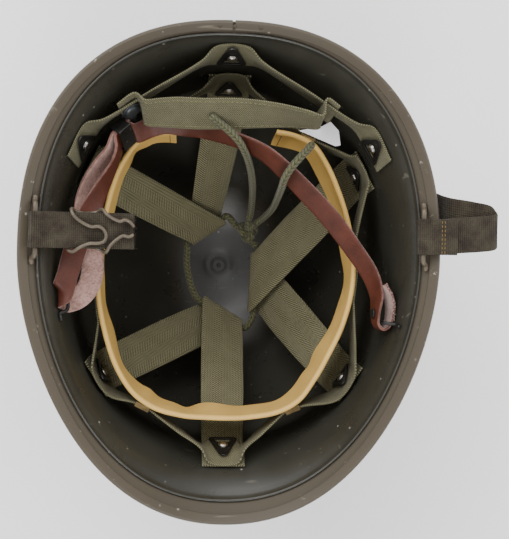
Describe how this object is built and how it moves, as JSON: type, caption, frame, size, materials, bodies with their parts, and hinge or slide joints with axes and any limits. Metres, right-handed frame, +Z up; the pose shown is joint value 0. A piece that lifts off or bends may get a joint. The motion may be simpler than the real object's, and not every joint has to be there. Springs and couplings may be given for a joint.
{
  "type": "steel helmet",
  "caption": "Pot-shaped steel combat helmet with a flared rim, fibre liner, webbing suspension, leather sweatband and chin straps, lying on its crown with its opening up.",
  "frame": {"origin": "middle of the small flat on the crown that the helmet lies on", "axes": "+Z up, out of the helmet's opening; +Y to the rear of the helmet, -Y to its visor; +X to the right of the helmet's wearer"},
  "size_m": [0.2681, 0.2873, 0.1797],
  "materials": {
    "helmet_paint": "matte olive brown paint, a little rough",
    "rim_paint": "matte olive brown paint with chips",
    "liner_plastic": "glossy dark olive lacquer over moulded fibre",
    "webbing": "sage green herringbone webbing",
    "strap_webbing": "khaki brown woven webbing",
    "lace": "olive braided cord",
    "tan_leather": "smooth tan leather",
    "brown_leather": "smooth brown leather with a raw flesh side",
    "black_steel": "black japanned steel",
    "nickel": "nickel plated",
    "khaki_steel": "khaki painted steel wire",
    "grey_cap": "grey painted snap cap",
    "brass": "worn brass",
    "white_tag": "white woven tag, blank"
  },
  "bodies": {
    "root": {"steel_shell": "helmet_paint", "rim_band": "rim_paint", "liner": "liner_plastic", "clip_rear_centre": "black_steel", "rivet_rear_centre": "nickel", "clip_rear_right": "black_steel", "rivet_rear_right": "nickel", "clip_front_right": "black_steel", "rivet_front_right": "nickel", "clip_front_centre": "black_steel", "rivet_front_centre": "nickel", "clip_front_left": "black_steel", "rivet_front_left": "nickel", "clip_rear_left": "black_steel", "rivet_rear_left": "nickel", "nape_clip_left": "black_steel", "nape_rivet_left": "nickel", "nape_clip_centre": "black_steel", "nape_rivet_centre": "nickel", "nape_clip_right": "black_steel", "nape_rivet_right": "nickel", "crown_band_rear": "webbing", "crown_band_front": "webbing", "crown_band_right": "webbing", "lace_ring": "lace", "lace_knot": "lace", "lace_end_a": "lace", "lace_end_b": "lace", "sweatband": "tan_leather", "headband": "webbing", "sweatband_clip_front_left": "nickel", "sweatband_clip_front_right": "nickel", "sweatband_clip_rear_right": "nickel", "nape_strap": "webbing", "nape_band": "webbing", "nape_snap": "grey_cap", "nape_snap_back": "brass", "tag": "white_tag", "chin_strap": "brown_leather", "chin_buckle": "black_steel", "chin_rivet": "black_steel", "chin_loop_right": "nickel", "chin_loop_left": "nickel", "left_bale": "khaki_steel", "right_bale": "khaki_steel", "left_web_strap": "strap_webbing", "left_hook": "khaki_steel", "right_web_strap": "strap_webbing", "right_strap_clasp": "khaki_steel"}
  },
  "joints": []
}
